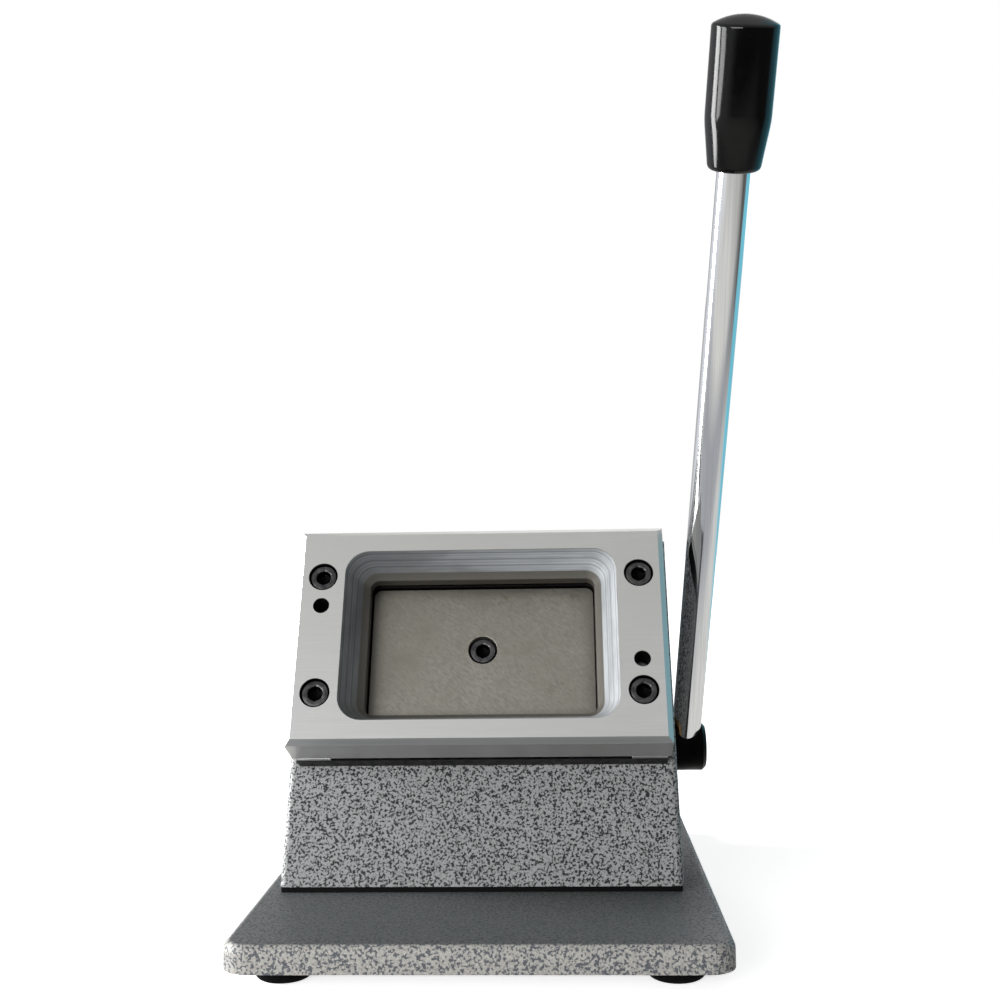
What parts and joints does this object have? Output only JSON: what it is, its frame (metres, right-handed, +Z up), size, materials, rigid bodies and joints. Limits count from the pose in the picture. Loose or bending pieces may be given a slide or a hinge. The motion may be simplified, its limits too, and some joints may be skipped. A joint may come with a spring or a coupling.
{
  "type": "plastic card cutter",
  "caption": "Bench cutter for plastic id cards: a lever on an eccentric shaft drives a punch through a sloping die with a flared window.",
  "frame": {"origin": "on the bench under the middle of the base plate", "axes": "+Z up, +X towards the side that has the lever, -Y towards the user, whom the sloping die faces"},
  "size_m": [0.1845, 0.21, 0.314],
  "materials": {
    "base_paint": "dark grey hammertone paint, semi-gloss",
    "body_paint": "grey hammertone paint with dark spots, semi-gloss",
    "cover_paint": "dark grey powder coat, satin",
    "foot_rubber": "matt black",
    "zinc_steel": "zinc plated",
    "black_screws": "black oxide",
    "black_steel": "black oxide, fine ground",
    "ground_steel": "surface ground, satin",
    "spacer_steel": "cold rolled",
    "punch_steel": "hardened and ground, slightly worn",
    "machined_steel": "machined",
    "spring_steel": "drawn wire",
    "bronze": "sintered bronze",
    "shaft_steel": "black oxide, turned",
    "rod_chrome": "polished chrome plating",
    "knob_plastic": "gloss black"
  },
  "bodies": {
    "frame": {"base_plate": "base_paint", "rubber_feet": "foot_rubber", "foot_screws": "zinc_steel", "body_casting": "body_paint", "body_screws": "black_screws", "rear_cover": "cover_paint", "cover_screws": "zinc_steel", "bolster_plate": "black_steel", "spacer_left": "spacer_steel", "spacer_right": "spacer_steel", "die_plate": "ground_steel", "die_screws": "black_screws", "dowel_pins": "machined_steel", "guide_posts": "machined_steel", "post_rings": "spring_steel", "return_springs": "spring_steel", "bushing_left": "bronze", "bushing_right": "bronze", "stop_pin": "machined_steel"},
    "lever": {"main_shaft": "shaft_steel", "eccentric_cam": "machined_steel", "cam_key": "machined_steel", "cam_set_screw": "black_screws", "shaft_collar": "machined_steel", "collar_set_screw": "black_screws", "shaft_ring": "spring_steel", "lever_rod": "rod_chrome", "lever_knob": "knob_plastic"},
    "ram": {"ram": "machined_steel", "post_bushings": "bronze", "punch": "punch_steel", "punch_screw": "black_screws", "punch_dowels": "machined_steel", "pressure_pad": "machined_steel", "pad_screws": "black_screws"}
  },
  "joints": [
    {"name": "lever_hinge", "type": "hinge", "parent": "frame", "child": "lever", "pos_m": [-0.002, 0.0476, 0.05], "axis": [1, 0, 0], "range_deg": [0, 60], "stiffness_Nm_per_rad": 1, "springref_deg": -34.38},
    {"name": "ram_slide", "type": "slide", "parent": "frame", "child": "ram", "axis": [0, -0.8949, 0.4462], "range_m": [0, 0.005], "deforming": ["return_springs"]}
  ],
  "couplings": [
    {"joint": "ram_slide", "follows": "lever_hinge", "m_per_rad": 0.00477}
  ]
}
